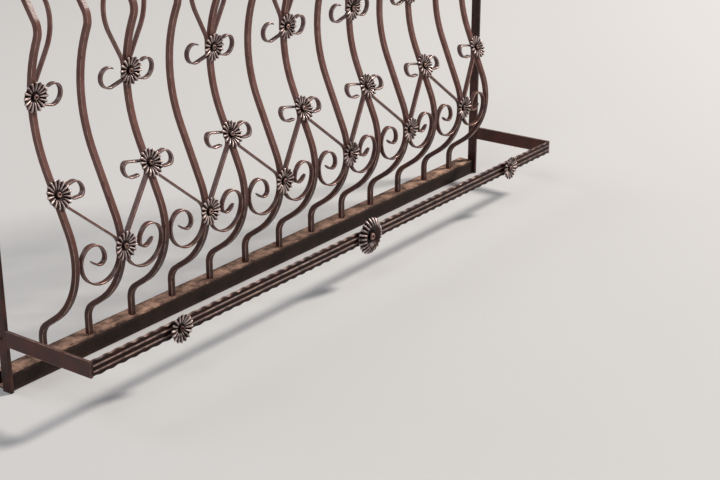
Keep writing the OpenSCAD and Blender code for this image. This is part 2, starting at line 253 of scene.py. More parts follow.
def bar_tube(x):
    """A square bar that follows the side line at x."""
    path = filled(bar_side, gap=9)
    turn = np.radians(path[:, 2])[:, None]
    a, b = bar_section[:, 0][None, :], bar_section[:, 1][None, :]
    tube = np.empty((len(path), len(bar_section), 3))
    tube[:, :, 0] = x + a
    tube[:, :, 1] = path[:, :1] - np.sin(turn) * b
    tube[:, :, 2] = path[:, 1:2] + np.cos(turn) * b
    return tube[:, ::-1]


for kind, places in (("basket_bars", BASKET_X), ("plain_bars", PLAIN_X)):
    sweep("shaped_" + kind, kind, "dark_paint", [bar_tube(x) for x in places], bar_section[:, 2], sun_and_shade=0.8)

# %% [markdown]
# The flat strips are bent twice: once in the face of the balcony, as a basket, scroll or ear, and once with the
# swing of the bars, as if all of them had been pressed over the same former. So a strip is drawn in the face first,
# and each of its points is then set back to the surface that the side line gives at its height. A Shrinkwrap modifier
# could press it on, but it would also squeeze the strip's thickness where the surface slants.

# %% Strips pressed over a former
STRIP_W, STRIP_T = 12, 4
TIP, TIP_THICKNESS, TIP_WIDTH = 0.8, (0.3, 0.6), (0.6, 0.85)
strip_section = section(STRIP_T, STRIP_W, radius=0.9)


def former(side_line):
    """A function that gives Y at a height and a depth into the strip, for a side line drawn upward."""
    line = filled(side_line, gap=5)
    turn = np.radians(line[:, 2])

    def place(z, depth):
        y_at = np.empty_like(z)
        for column in range(z.shape[1]):
            b = depth[column]
            heights, outs = line[:, 1] + np.cos(turn) * b, line[:, 0] - np.sin(turn) * b
            order = np.argsort(heights)
            y_at[:, column] = np.interp(z[:, column], heights[order], outs[order])
        return y_at

    return place


def strip_tube(path, place, x, hand=1, taper=0):
    """A flat strip along a line in the face, mirrored by a hand of -1, with its last taper mm drawn out thinner."""
    line = filled(path, gap=8)
    run = np.concatenate([[0], np.cumsum(np.linalg.norm(np.diff(line[:, :2], axis=0), axis=1))])
    left = run[-1] - run
    thin = np.ones(len(line)) if not taper else np.interp(left, [0, TIP, taper], [*TIP_THICKNESS, 1.0])
    narrow = np.ones(len(line)) if not taper else np.interp(left, [0, TIP, taper / 2], [*TIP_WIDTH, 1.0])
    turn = np.radians(line[:, 2])[:, None]
    a = strip_section[:, 0][None, :] * thin[:, None]
    xs = line[:, :1] - np.sin(turn) * a
    zs = line[:, 1:2] + np.cos(turn) * a
    tube = np.empty((*xs.shape, 3))
    tube[:, :, 0] = x + hand * xs
    tube[:, :, 2] = zs
    middle = place(tube[:, :, 2], np.zeros(len(strip_section)))
    edge = place(tube[:, :, 2], strip_section[:, 1])
    tube[:, :, 1] = middle + (edge - middle) * narrow[:, None]
    return tube if hand > 0 else tube[:, ::-1]


beside = (BAR + STRIP_T) / 2
print("points round a strip:", len(strip_section), "and its middle lies", beside, "mm beside a bar's")

# %% [markdown]
# Each basket is a pair of strips that leave the bar at the upper rosette, open to a spindle beside the knee and
# close again at the top rail. The spindle is three bends in the face; it leans out less than the bar does, so its
# former has a side line of its own that starts at the waist's innermost point.

# %% Basket strips
basket_z, basket_r, basket_half, basket_lean = 744, 109, 58.5, math.radians(29)
basket_end_r, strip_overlap = 40, 10
basket_out, basket_back_z, basket_side_r = -35, 795, 50
corner_x = basket_half + basket_r * (1 / math.cos(basket_lean) - 1)
leg = (corner_x - beside) / math.tan(basket_lean)
foot_z = UPPER_Z - strip_overlap
basket_line = bent([(beside, foot_z), (beside, basket_z - leg), (corner_x, basket_z), (beside, basket_z + leg),
                    (beside, HEAD_Z)], [basket_end_r, basket_r, basket_end_r])
waist_middle = corner_bend(BELLY, WAIST, KNEE, WAIST_R)[0]
waist_peak = waist_middle.x + WAIST_R
basket_former = former(bent([(waist_peak, foot_z), (basket_out, basket_back_z), (0, HEAD_BEND_Z), (0, HEAD_Z)],
                            [basket_side_r, HEAD_R]))
for side, hand, places in (("left", -1, BASKET_X[1:]), ("right", 1, BASKET_X[:-1])):
    sweep(f"shaped_{side}_basket_strips", f"{side}_basket_strips", "dark_paint",
          [strip_tube(basket_line, basket_former, x, hand) for x in places], strip_section[:, 2], sun_and_shade=1.0)

# %% [markdown]
# Scrolls and ears have no corners to round. They are bent from one end to the other, so their lines are written that
# way too: legs laid end to end, each a straight length or a bend. A Bezier curve could be drawn by eye, but its bends
# would have no radius to check against the measured solids.

# %% Legs laid end to end
def walked(start, heading, legs):
    """Legs laid end to end: (length, 0) is straight and (radius, turn) is a bend."""
    p, found = Vector(start), [(*start, heading)]
    for size, turn in legs:
        a = math.radians(heading)
        if turn == 0:
            p = p + size * Vector((math.cos(a), math.sin(a)))
            found.append((*p, heading))
        else:
            centre = p + Vector((-math.sin(a), math.cos(a))) * math.copysign(size, turn)
            bend = arc(centre, size, heading, turn)
            found += bend[1:]
            p, heading = Vector(bend[-1][:2]), heading + turn
    return found


quarter = walked((0, 0), 0, [(10, 0), (5, 90)])[-1]
print("10 mm straight and a 5 mm quarter bend end at", [round(value, 3) for value in quarter[:2]])

# %% [markdown]
# A scroll leaves each side of a middle rosette, crosses to the next bar, passes behind the lower rosette and rolls up
# into a volute. The smith draws the end out thinner before rolling it, so the last stretch tapers. The volutes stand
# plumb at the fullest part of the belly instead of curving in with it. The roll is laid as bends measured one by one
# with a short straight end, because a mathematical spiral would tighten more evenly than the real one does.

# %% Scrolls
belly_middle = corner_bend((0, FOOT_BEND_Z), BELLY, WAIST, BELLY_R)[0]
belly_peak = belly_middle.x - BELLY_R
slope = math.atan2(WAIST[0] - BELLY[0], WAIST[1] - BELLY[1])


def slope_y(z):
    """Y of the straight run between belly and waist."""
    return BELLY[0] + (z - BELLY[1]) * math.tan(slope)


volute_z, volute_r, scroll_rise, plumb_z, plumb_r = 263, 54, 3, 292, 50
top_leg, foot_leg, leave_r, meet_r = 8, 7.5, 25, 40
roll = [(34, -90), (32, -90), (14, -90), (22, -40), (14, 0)]
top_z, bends = MIDDLE_Z + scroll_rise, leave_r + meet_r
run, drop = PITCH - 2 * beside - bends, top_z - top_leg - foot_leg - volute_z
slant = math.sqrt(run ** 2 + drop ** 2 - bends ** 2)
angle = math.degrees(math.atan2(bends, slant) + math.atan2(run, drop))
scroll_line = walked((beside, top_z), -90, [(top_leg, 0), (leave_r, angle), (slant, 0), (meet_r, -angle),
                                            (foot_leg, 0), (volute_r, -180), *roll])
scroll_former = former(bent([(belly_peak, volute_z - volute_r - STRIP_W), (belly_peak, plumb_z),
                             (slope_y(MIDDLE_Z), MIDDLE_Z)], [plumb_r]))
for side, hand in (("left", 1), ("right", -1)):
    sweep(f"shaped_{side}_scrolls", f"{side}_scrolls", "dark_paint",
          [strip_tube(scroll_line, scroll_former, x - hand * PITCH, hand, taper=16) for x in PLAIN_X],
          strip_section[:, 2], sun_and_shade=0.8)

# %% [markdown]
# The ears are short bows left and right of the upper and middle rosettes. Those of the upper row leave the bar low,
# swing wide and roll down from above; those of the middle row are smaller and roll the other way, from above the
# rosette round to its lower side. Both are legs laid end to end, like the scrolls, and both lie on the surface of the
# bars' own side line. Mirrored copies could give the left ones; a hand of -1 does it without a modifier.

# %% Ears
SEAT_GAP = 0.3
ear_drop, ear_root_r = 14, 6
ear_lines = {
    "upper": walked((beside, UPPER_Z - ear_drop), -90,
                    [(ear_root_r, 75), (32, 0), (30, 15), (24, 90), (20, 90), (22, 40)]),
    "middle": walked((beside, MIDDLE_Z + scroll_rise + SEAT_GAP), 90,
                     [(ear_root_r, -80), (39, 0), (25, -10), (15.5, -180), (14, 0), (20, -25)]),
}
belly_former = former(bar_side)
for row, line in ear_lines.items():
    for side, hand, places in (("left", -1, BASKET_X[1:]), ("right", 1, BASKET_X[:-1])):
        sweep(f"shaped_{row}_{side}_ears", f"{row}_{side}_ears", "copper_rubbed_paint",
              [strip_tube(line, belly_former, x, hand, taper=10) for x in places], strip_section[:, 2], sun_and_shade=1.0)

# %% [markdown]
# The rosettes are small castings: petals fan out from a sunk ring like the ribs of a shell, with deep grooves between
# them as wide as the petals. The large one in front is a smooth bowl instead, with petals that curl back from its lip
# to the rail. One petal copied round would need its seams joined, while a polar grid gives both shapes directly. Going
# round, the height steps from groove to petal along a smooth curve; going outward, a table gives the height of both.

# %% The shape of a rosette
ROSETTE, PETALS, PETAL_STEPS, SEAT_SHARE = 63, 16, 12, 0.4
PETAL_EDGE, NOTCH, NOTCH_FROM = 0.42, 0.09, 0.7
# Painted shade in the sunk ring and on the back of a rosette, as shares.
RING_SHADE, BACK_SHADE = 0.9, 0.7
# share of the radius, height in a groove, height on a petal; first the front, then the back
SHELL = ([(0.20, 3.0, 3.0), (0.27, 2.6, 2.6), (0.335, 2.5, 2.6), (0.37, 2.5, 4.4), (0.405, 2.6, 5.8), (0.48, 2.9, 6.9),
          (0.58, 3.4, 8.0), (0.68, 4.0, 9.0), (0.78, 4.7, 9.8), (0.86, 5.2, 10.0), (0.92, 5.5, 9.8),
          (0.965, 5.6, 9.2), (0.99, 5.6, 8.4), (1.0, 5.5, 7.2)],
         [(0.985, 5.3, 6.2), (0.90, 4.4, 5.0), (0.70, 2.7, 3.1), (0.50, 0.9, 1.1), (0.42, 0.1, 0.1),
          (SEAT_SHARE, 0.0, 0.0)])
BOWL = ([(0.20, 3.0, 3.0), (0.25, 2.7, 2.7), (0.30, 2.9, 2.9), (0.36, 3.9, 4.0), (0.42, 5.4, 5.6), (0.48, 7.0, 7.3),
         (0.54, 8.5, 8.9), (0.59, 9.3, 9.8), (0.63, 9.4, 10.0), (0.665, 8.4, 9.9), (0.71, 7.0, 9.5), (0.77, 5.6, 8.7),
         (0.84, 4.3, 7.4), (0.91, 3.0, 5.6), (0.96, 2.2, 4.0), (1.0, 1.6, 2.2)],
        [(0.985, 1.3, 1.7), (0.90, 1.0, 1.3), (0.70, 0.7, 0.8), (0.50, 0.3, 0.3), (0.42, 0.05, 0.05),
         (SEAT_SHARE, 0, 0)])
SHELL_FROM, BOWL_FROM = 0.34, 0.6


def eased(value, low, high):
    """0 below low, 1 above high and a smooth curve between them."""
    share = min(1, max(0, (value - low) / (high - low)))
    return share * share * (3 - 2 * share)


def rosette_grid(d, petals, spin, profile=SHELL, petals_from=SHELL_FROM):
    """Points, faces, rubbed copper with painted highlight, and painted shade of a rosette lying on z = 0, turned by
    spin degrees.
    """
    front, back = profile
    around = petals * PETAL_STEPS
    verts, rub, recess = [], [], []
    for ring, (share, groove, ridge) in enumerate(front + back):
        outer, top = eased(share, petals_from, petals_from + 0.06), ring < len(front)
        for k in range(around):
            rise = eased(math.sin(math.pi * (k % PETAL_STEPS) / PETAL_STEPS), PETAL_EDGE, 1.0)
            notch = NOTCH * (1 - rise) * eased(share, NOTCH_FROM, 1.0)
            r = d / 2 * share * (1 - notch)
            t = math.tau * k / around + math.radians(spin)
            verts.append((r * math.cos(t), r * math.sin(t), (groove + (ridge - groove) * rise) * d / ROSETTE))
            # Copper on the petal ridges, also a painted highlight; painted shade in the grooves, the sunk ring and on
            # the back.
            rub.append(rise ** 3 * outer if top else 0.0)
            sunk_shade = max((1 - rise) * outer, RING_SHADE - eased(share, 0.28, 0.44))
            recess.append(sunk_shade if top else BACK_SHADE)
    faces = sweep_faces(len(front + back), around)
    return np.array(verts), [f[::-1] for f in faces], rub, recess


print("rings on a shell:", len(SHELL[0] + SHELL[1]), "rings on the bowl:", len(BOWL[0] + BOWL[1]))

# %% [markdown]
# A round button sits in the sunk ring of each rosette. It is a small collar and ring with a pit in its middle, where
# the punch set it. It is turned from a line like work on a lathe, which Blender's Screw modifier could do as well, but
# then the points would not know which of them are rubbed and which lie in painted shade in the pit and at the foot.

# %% The shape of a button
CROWN_H, BUTTON_POINTS = 3.0, 24
# radius and height as shares of the rosette's diameter, rubbed copper, painted shade in the pit and at the foot
BUTTON = [(0.100, 0.0, 0, 1), (0.100, 0.012, 0, 1), (0.086, 0.022, 0, 1), (0.090, 0.042, 0, 0.6),
          (0.094, 0.058, 0.2, 0), (0.090, 0.076, 0.5, 0), (0.078, 0.090, 0.6, 0), (0.062, 0.0975, 0.6, 0),
          (0.048, 0.098, 0.5, 0), (0.038, 0.090, 0.3, 0.4), (0.031, 0.072, 0, 1), (0.022, 0.062, 0, 1),
          (0.008, 0.060, 0, 1)]


def button_grid(d):
    """Points, faces, rubbed copper and painted shade of the button that stands on the crown of a rosette of diameter d.
    """
    base = SEAT_GAP + CROWN_H * d / ROSETTE
    verts, rub, recess = [], [], []
    for r, z, rubbed, sunk_shade in BUTTON:
        for k in range(BUTTON_POINTS):
            t = math.tau * k / BUTTON_POINTS
            verts.append((r * d * math.cos(t), r * d * math.sin(t), base + z * d))
            rub.append(rubbed)
            recess.append(sunk_shade)
    return np.array(verts), sweep_faces(len(BUTTON), BUTTON_POINTS), rub, recess


print("a button is", round(0.2 * ROSETTE, 1), "mm wide")

# %% [markdown]
# The rosettes hide the joints of bars, strips and ears. The middle row lies on the straight slope of the bars, the
# lower row on the belly, and the upper row bridges the hollow of the waist, so each row tips with its place. No two
# were set at the same turn by hand, so each is spun by chance within one petal. Linked copies could share one mesh,
# but a whole row is one piece here, as it is among the solids.

# %% Rosettes and buttons on the bars
MOST_SPIN = 22
dice = random.Random(7)


def set_on(name, node, slot, places, grid, faded=0.0):
    """One piece from a grid set at each place, a 4 x 4 matrix in millimetres."""
    verts, faces, rub, recess = [], [], [], []
    for place in places:
        v, f, r, c = grid()
        first = sum(len(x) for x in verts)
        turned = v @ np.array(place.to_3x3()).T + np.array(place.translation)
        verts.append(turned)
        faces += [[i + first for i in face] for face in f]
        rub += list(r)
        recess += list(c)
    return make_piece(name, node, slot, np.concatenate(verts), faces, rub, recess, faded)


def on_bar(x, y, z, tip, off):
    """A place on the street side of a bar, off its middle line, tipped upward by tip degrees."""
    return (Matrix.Translation((x, y, z)) @ Matrix.Rotation(math.radians(90 - tip), 4, "X")
            @ Matrix.Translation((0, 0, off)))


waist_tip = -math.degrees(math.asin((UPPER_Z - waist_middle.y) / WAIST_R))
waist_y = waist_middle.x + WAIST_R * math.cos(math.radians(waist_tip))
hollow = (SEAT_SHARE * ROSETTE) ** 2 / (8 * (WAIST_R - BAR / 2)) + SEAT_GAP
belly_tip = math.degrees(math.asin((LOWER_Z - belly_middle.y) / BELLY_R))
belly_y = belly_middle.x - BELLY_R * math.cos(math.radians(belly_tip))
rows = {
    "upper": [on_bar(x, waist_y, UPPER_Z, waist_tip, BAR / 2 + hollow) for x in BASKET_X],
    "middle": [on_bar(x, slope_y(MIDDLE_Z), MIDDLE_Z, math.degrees(slope), BAR / 2) for x in BASKET_X],
    "lower": [on_bar(x, belly_y, LOWER_Z, belly_tip, BAR / 2) for x in PLAIN_X],
}
for row, places in rows.items():
    set_on(f"shaped_{row}_rosettes", f"{row}_rosettes", "copper_rubbed_paint", places,
           lambda: rosette_grid(ROSETTE, PETALS, dice.uniform(0, MOST_SPIN)), faded=0.5)
    set_on(f"shaped_{row}_buttons", f"{row}_buttons", "dark_paint", places, lambda: button_grid(ROSETTE))

# %% [markdown]
# Both rails are box tube. The lower one lies at the balcony's foot, so rain and dirt settle on it and its upper face
# has gone rusty, with dark paint showing again where its edges are worn. A Solidify modifier could give a tube its
# wall; an outer and an inner loop swept together, with a narrow face between them at the ends, do the same in quads.

# %% Rails
RAIL_W, RAIL_FRONT, RAIL_WALL, RAIL_RINGS = 48, 17, 3, 61


def with_margins(loop, reach=7):
    """The loop with worn corners, and points where the wear ends, reach mm into each flat side."""
    found = []
    for p, q in zip(loop, np.roll(loop, -1, axis=0)):
        found.append((p[0], p[1], 1.0))
        length = math.dist(p[:2], q[:2])
        if length > 3 * reach:
            for share in (reach / length, 1 - reach / length):
                found.append((*(p[:2] + (q[:2] - p[:2]) * share), 0.0))
    return np.array(found)


def box_rail(name, node, slot, z):
    """A rail of box tube with rounded outer edges."""
    outer = with_margins(section(RAIL_W, RAIL_H, radius=3))
    inner = with_margins(section(RAIL_W - 2 * RAIL_WALL, RAIL_H - 2 * RAIL_WALL, radius=1))
    points = len(outer)
    y, middle, half = RAIL_W / 2 - RAIL_FRONT, z + RAIL_H / 2, WIDTH / 2 - POST_T
    verts, rub = [], []
    xs = np.linspace(-half, half, RAIL_RINGS)
    for loop in (outer, inner[::-1]):
        for x in xs:
            verts += [(x, y + a, middle + b) for a, b, _ in loop]
            rub += list(loop[:, 2] if loop is outer else loop[:, 2] * 0)
    faces = sweep_faces(len(xs), points, 0, False) + sweep_faces(len(xs), points, len(xs) * points, False)
    first_in, last_out = len(xs) * points, (len(xs) - 1) * points
    last_in = first_in + last_out
    for k in range(points):
        n = (k + 1) % points
        ik, im = points - 1 - k, points - 1 - n
        faces.append([first_in + ik, first_in + im, n, k])
        faces.append([last_out + k, last_out + n, last_in + im, last_in + ik])
    return make_piece(name, node, slot, verts, faces, rub)


box_rail("shaped_bottom_rail", "bottom_rail", "weathered_rail", 0)
box_rail("shaped_top_rail", "top_rail", "dark_paint", HEAD_Z)

# %% [markdown]
# The guard at the foot is a plain flat bar at each side and a ribbed one in front. The front bar came from the mill
# with two long ribs, and its edges were then beaten between dies at an even pace, so both edges wave together. Each
# blow also flattens the corner a little, and those small flats catch the light. Copper on those upper flats and just
# above each rib's crest is a painted highlight, and the flat bands and lower edge get painted shade. Displacement could
# wave the edges but would bend the ribs too, so the loop round the bar is worked out anew at every step along it.

# %% Front rail with ribs and hammered edges
GUARD_Y, GUARD_TOP, GUARD_H, ARM_T, RIB = 266, 142, 36, 6, 3
WAVE, WAVE_DEPTH, WAVE_STEPS, RAIL_T = 31.5, 2.2, 12, 6
CORNER_R, LOW_FLAT, HIGH_FLAT, FLAT_REACH, BACK_R = 0.8, 0.9, 1.5, 3.4, 0.9
# Where on each rib the painted highlight sits, and how wide it spreads.
RIB_SHARES, RIB_BAND, LIT_ANGLE, LIT_SPREAD = (0.32, 0.67), 1.6, 1.85, 0.42
guard_l = WIDTH - 2 * ARM_T
guard_z = GUARD_TOP - GUARD_H
rib_heights = [guard_z + GUARD_H * share for share in RIB_SHARES]
blows = math.ceil(guard_l / WAVE)
blow_low, blow_high = ([dice.uniform(0.75, 1) for k in range(blows + 2)] for edge in range(2))


def rail_loop(low, high, flat_low, flat_high):
    """Points (outward, height, rubbed copper with painted highlight, painted shade) round the bar, from the lower front
    corner upward.
    """
    found = []
    # The lower corner gets painted shade and little copper.
    r = CORNER_R + LOW_FLAT * flat_low
    for k in range(4):
        t = math.pi / 6 * k
        found.append((r * math.sin(t) - r, low + r - r * math.cos(t), 0.15 * math.sin(2 * t), 0.4))
    # The flat bands get painted shade; each rib gets copper as a painted highlight just above its crest, and painted
    # shade on the rest.
    for height in rib_heights:
        found.append((0, height - RIB - RIB_BAND, 0.0, 0.7))
        for k in range(13):
            t = math.pi * k / 12
            lit = math.exp(-((t - LIT_ANGLE) / LIT_SPREAD) ** 2)
            found.append((RIB * math.sin(t), height - RIB * math.cos(t), 0.55 * lit, 0.8 * (1 - lit)))
        found.append((0, height + RIB + RIB_BAND, 0.0, 0.7))
    # The upper corner gets copper on its hammered flats as a painted highlight, and painted shade on its front.
    r = CORNER_R + HIGH_FLAT * flat_high
    for k in range(5):
        t = math.pi / 8 * k
        found.append((r * math.cos(t) - r, high - r + r * math.sin(t), 0.8 * flat_high * math.sin(t),
                      0.6 * math.cos(t)))
    found += [(-FLAT_REACH, high, 0.8 * flat_high, 0.0), (-RAIL_T + BACK_R, high, 0.4 * flat_high, 0.0),
              (-RAIL_T, high - BACK_R, 0.2, 0.0), (-RAIL_T, (low + high) / 2, 0.0, 0.0),
              (-RAIL_T, low + BACK_R, 0.2, 0.0), (-RAIL_T + BACK_R, low, 0.2, 0.0)]
    return found


def hammered_rail():
    """The front rail, with edges that wave and corners that flatten at each blow."""
    rings = []
    for x in np.linspace(-guard_l / 2, guard_l / 2, blows * WAVE_STEPS + 1):
        along = x / WAVE + blows / 2
        rise = (1 - math.cos(math.tau * along)) / 2
        flat_low, flat_high = rise * blow_low[int(along)], (1 - rise) * blow_high[int(along + 0.5)]
        loop = rail_loop(guard_z + WAVE_DEPTH * flat_low, GUARD_TOP - WAVE_DEPTH * flat_high, flat_low, flat_high)
        rings.append([(x, -GUARD_Y - out, z, rub, recess) for out, z, rub, recess in loop])
    rings = np.array(rings)
    faces = sweep_faces(rings.shape[0], rings.shape[1])
    flat = rings.reshape(-1, 5)
    return make_piece("shaped_front_rail", "front_rail", "dark_paint", flat[:, :3], [f[::-1] for f in faces],
                      flat[:, 3], flat[:, 4])


hammered_rail()

# %% [markdown]
# The side arms run from the corners of the guard back to the end posts. They are plain flat bar. A stretched cube with
# a Bevel modifier would have the same shape, but the swept section also marks its rounded edges as rubbed, where the
# copper also paints a highlight.

# %% Side arms
POST_FRONT, ARM_RINGS = 24, 30
arm_section = section(ARM_T, GUARD_H, radius=0.9)
for side, hand in (("left", -1), ("right", 1)):
    ys = np.linspace(-GUARD_Y, -POST_FRONT, ARM_RINGS)
    tube = np.array([[(hand * (WIDTH / 2 - ARM_T / 2) + a, y, guard_z + GUARD_H / 2 + b)
                      for a, b, _ in arm_section] for y in ys])
    sweep(f"shaped_{side}_side_arm", f"{side}_side_arm", "dark_paint", [tube[:, ::-1]],
          arm_section[:, 2], sun_and_shade=1.3)

# %% [markdown]
# The end posts are flat bars with two anchor holes. A hole cut by a Boolean leaves long thin triangles that shade
# badly, so the plate is laid out in clean quads instead: a square cell round each hole, whose spokes run from the hole
# to the edge of the cell, and long strips between the cells. A Bevel modifier then rounds every edge.

# %% End posts
POST_W, HOLE_R, HOLE_PITCH, SPOKE = 26, 5.25, 700, 15


def post_layout():
    """Points (y, z) and quads of a post seen from its flat side."""
    points, quads, number = [], [], {}

    def at(y, z):
        key = (round(y, 3), round(z, 3))
        if key not in number:
            number[key] = len(points)
            points.append(key)
        return number[key]

    half = POST_W / 2
    spokes = [math.radians(a) for a in range(0, 360, SPOKE)]
    rows = [half * math.tan(math.radians(a)) for a in range(-45, 46, SPOKE)]
    holes = [HEIGHT / 2 - HOLE_PITCH / 2, HEIGHT / 2 + HOLE_PITCH / 2]
    for z in holes:
        for a, b in zip(spokes, spokes[1:] + spokes[:1]):
            ring = []
            for t in (a, b):
                far = half / max(abs(math.cos(t)), abs(math.sin(t)))
                ring.append([at(r * math.cos(t), z + r * math.sin(t)) for r in (HOLE_R, far)])
            quads.append([ring[0][0], ring[0][1], ring[1][1], ring[1][0]])
    for low, high in ((0, holes[0] - half), (holes[0] + half, holes[1] - half), (holes[1] + half, HEIGHT)):
        for left, right in zip(rows, rows[1:]):
            quads.append([at(left, low), at(right, low), at(right, high), at(left, high)])
    return np.array(points), quads


def end_post(side, hand):
    """A post from the layout and its mirror, closed with a quad over each open edge."""
    points, quads = post_layout()
    count = len(points)
    outer, inner = hand * WIDTH / 2, hand * (WIDTH / 2 - POST_T)
    verts = [(x, y + POST_W / 2 - POST_FRONT, z) for x in (min(outer, inner), max(outer, inner)) for y, z in points]
    edges = {(q[k], q[(k + 1) % 4]) for q in quads for k in range(4)}
    faces = [q[::-1] for q in quads] + [[i + count for i in q] for q in quads]
    faces += [[a, b, b + count, a + count] for a, b in edges if (b, a) not in edges]
    make_piece(f"shaped_{side}_end_post", f"{side}_end_post", "dark_paint", verts, faces, np.zeros(len(verts)), bevel=1)


for side, hand in (("left", -1), ("right", 1)):
    end_post(side, hand)

# %% [markdown]
# Three rosettes dress the front rail, the bowl with the curled petals in the middle and a shell at each side. They hang
# on the two ribs of the rail and hide part of its edges. They could be modelled anew, but the small ones look like
# those on the bars, so they come from the same grids and only their turn differs.

# %% Rosettes on the front rail
BIG_ROSETTE, BIG_PETALS, MOST_FRONT_SPIN = 92, 22, 16
front = {"left": (-647, ROSETTE, PETALS), "middle": (14, BIG_ROSETTE, BIG_PETALS), "right": (663, ROSETTE, PETALS)}
facing_street = Matrix.Rotation(math.pi / 2, 4, "X")
front_places = {name: Matrix.Translation((x, -GUARD_Y - RIB, guard_z + GUARD_H / 2)) @ facing_street
                for name, (x, _, _) in front.items()}
for name, (_, d, petals) in front.items():
    shape = (BOWL, BOWL_FROM) if d == BIG_ROSETTE else (SHELL, SHELL_FROM)
    set_on(f"shaped_front_{name}_rosette", f"front_{name}_rosette", "copper_rubbed_paint", [front_places[name]],
           lambda: rosette_grid(d, petals, dice.uniform(0, MOST_FRONT_SPIN), *shape))
diameters = iter([d for _, d, _ in front.values()])
set_on("shaped_front_buttons", "front_buttons", "dark_paint", front_places.values(),
       lambda: button_grid(next(diameters)))

# %% [markdown]
# Paint on outdoor iron is never one colour. Three effects make it up here, each a node group with its own sockets:
# mottled paint, copper rubbed onto whatever stands proud, which also serves as a painted highlight there, and dust or
# rust that settles on faces that look up. Nodes copied into every material would look the same, but a group is written
# once and tuned by its sockets.

# %% Tools for node groups
def group(name, inputs, outputs):
    """An empty shader node group with named number or colour sockets."""
    tree = bpy.data.node_groups.new(name, "ShaderNodeTree")
    for direction, sockets in (("INPUT", inputs), ("OUTPUT", outputs)):
        for label, kind, value in sockets:
            made = tree.interface.new_socket(label, in_out=direction, socket_type="NodeSocket" + kind)
            if value is not None:
                made.default_value = value
    return tree, tree.nodes.new("NodeGroupInput"), tree.nodes.new("NodeGroupOutput")


def node(tree, kind, links=None, **settings):
    """A node with its settings, and its inputs set or linked by name or number."""
    made = tree.nodes.new("ShaderNode" + kind)
    for key, value in settings.items():
        setattr(made, key, value)
    for key, value in (links or {}).items():
        if isinstance(value, bpy.types.NodeSocket):
            tree.links.new(value, made.inputs[key])
        else:
            made.inputs[key].default_value = value
    return made


def place_of(tree):
    """The object's own coordinates, so that patterns keep their size in metres."""
    return node(tree, "TexCoord").outputs["Object"]


def keep(effect, tree):
    """Keeps a finished group under the name of its effect."""
    effects[effect] = tree
    print(tree.name, "has the sockets", [socket.name for socket in tree.interface.items_tree])


effects = {}

# %% [markdown]
# Brushed and weathered paint has clouds of lighter and darker brown, and a fine grain that breaks up its gloss. A broad
# noise gives the clouds. Times a noise nine times finer it is the height that the Bump node reads, so that the grain
# swells and fades with the clouds; two separate bumps would do without that tie.

# %% Mottled paint
def mottle_group():
    """Mask of the light clouds in the paint, and a height for its grain."""
    tree, start, end = group("mottled_paint", [("Scale", "Float", 30.0), ("Spread", "Float", 0.5)],
                             [("Mask", "Float", None), ("Height", "Float", None)])
    at = place_of(tree)
    broad = node(tree, "TexNoise", {"Vector": at, "Scale": start.outputs["Scale"], "Detail": 4.0, "Roughness": 0.6})
    larger = node(tree, "Math", {0: start.outputs["Scale"], 1: 9.0}, operation="MULTIPLY")
    fine = node(tree, "TexNoise", {"Vector": at, "Scale": larger.outputs[0], "Detail": 3.0, "Roughness": 0.6})
    low = node(tree, "Math", {0: 0.5, 1: start.outputs["Spread"]}, operation="SUBTRACT")
    high = node(tree, "Math", {0: 0.5, 1: start.outputs["Spread"]}, operation="ADD")
    mask = node(tree, "MapRange", {"Value": broad.outputs["Fac"], "From Min": low.outputs[0],
                                   "From Max": high.outputs[0]}, interpolation_type="SMOOTHSTEP")
    height = node(tree, "Math", {0: broad.outputs["Fac"], 1: fine.outputs["Fac"]}, operation="MULTIPLY")
    tree.links.new(mask.outputs["Result"], end.inputs["Mask"])
    tree.links.new(height.outputs[0], end.inputs["Height"])
    return tree


keep("mottle", mottle_group())

# %% [markdown]
# Copper was rubbed over the dark paint, so it sits on ridges and edges only, and patchily. The same mask also paints
# the highlights on those edges and ridges, and just above the crests of the front rail's ribs. Pointiness from the
# Geometry node would find edges too, but it depends on how fine the mesh is; the number kept on each point does not.

# %% Rubbed edges
def rub_and_highlight_group():
    """Mask of the copper rubbed onto ridges and edges, which also paints their highlights."""
    tree, start, end = group("rubbed_edges", [("Amount", "Float", 0.6), ("Scale", "Float", 60.0)],
                             [("Mask", "Float", None)])
    rub = node(tree, "Attribute", attribute_name="rub").outputs["Fac"]
    grain = node(tree, "TexNoise", {"Vector": place_of(tree), "Scale": start.outputs["Scale"], "Detail": 5.0,
                                    "Roughness": 0.65})
    patchy = node(tree, "MapRange", {"Value": grain.outputs["Fac"], "From Min": 0.35, "From Max": 0.62})
    worn = node(tree, "Math", {0: rub, 1: patchy.outputs["Result"]}, operation="MULTIPLY")
    amount = node(tree, "Math", {0: worn.outputs[0], 1: start.outputs["Amount"]}, operation="MULTIPLY",
                  use_clamp=True)
    tree.links.new(amount.outputs[0], end.inputs["Mask"])
    return tree


keep("rubbed", rub_and_highlight_group())

# %% [markdown]
# Dust and rust lie where a face looks up. The upward part of the normal finds those faces, and a noise added to it
# before the cut tears the border of the patch, so that it doesn't end in a straight line along the edge.

